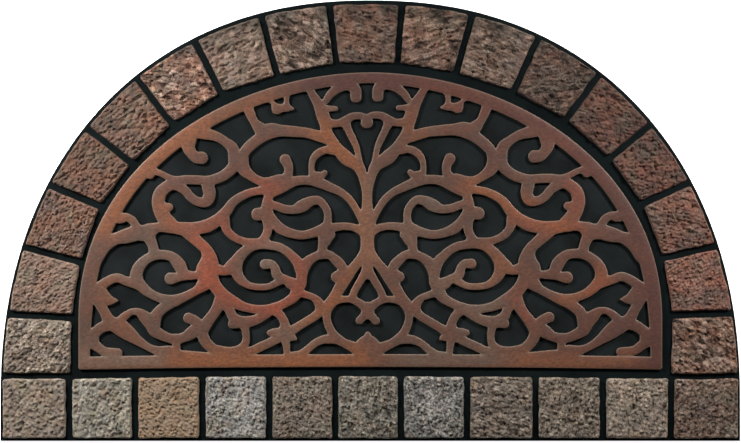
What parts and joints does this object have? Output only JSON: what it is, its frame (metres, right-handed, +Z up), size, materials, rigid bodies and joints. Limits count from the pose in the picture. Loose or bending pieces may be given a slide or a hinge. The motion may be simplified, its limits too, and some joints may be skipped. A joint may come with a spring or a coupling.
{
  "type": "half-round rubber doormat",
  "caption": "Half-round moulded rubber doormat with a cobblestone border around a raised scrollwork panel, flat underneath.",
  "frame": {"origin": "middle of the mat's outline box, on the floor plane under it", "axes": "+Z up out of the patterned face, -Y towards the straight edge, +X to the right when the straight edge is nearest"},
  "size_m": [0.762, 0.454, 0.0085],
  "materials": {
    "black_rubber": "matt black crumb rubber, unprinted in the recesses, grooves and edge",
    "stone_print": "matt cobblestone print in buff, rose and grey on moulded rubber stones",
    "iron_print": "matt rust-brown print on the raised rubber scrollwork"
  },
  "bodies": {
    "root": {"mat": "black_rubber"}
  },
  "joints": []
}
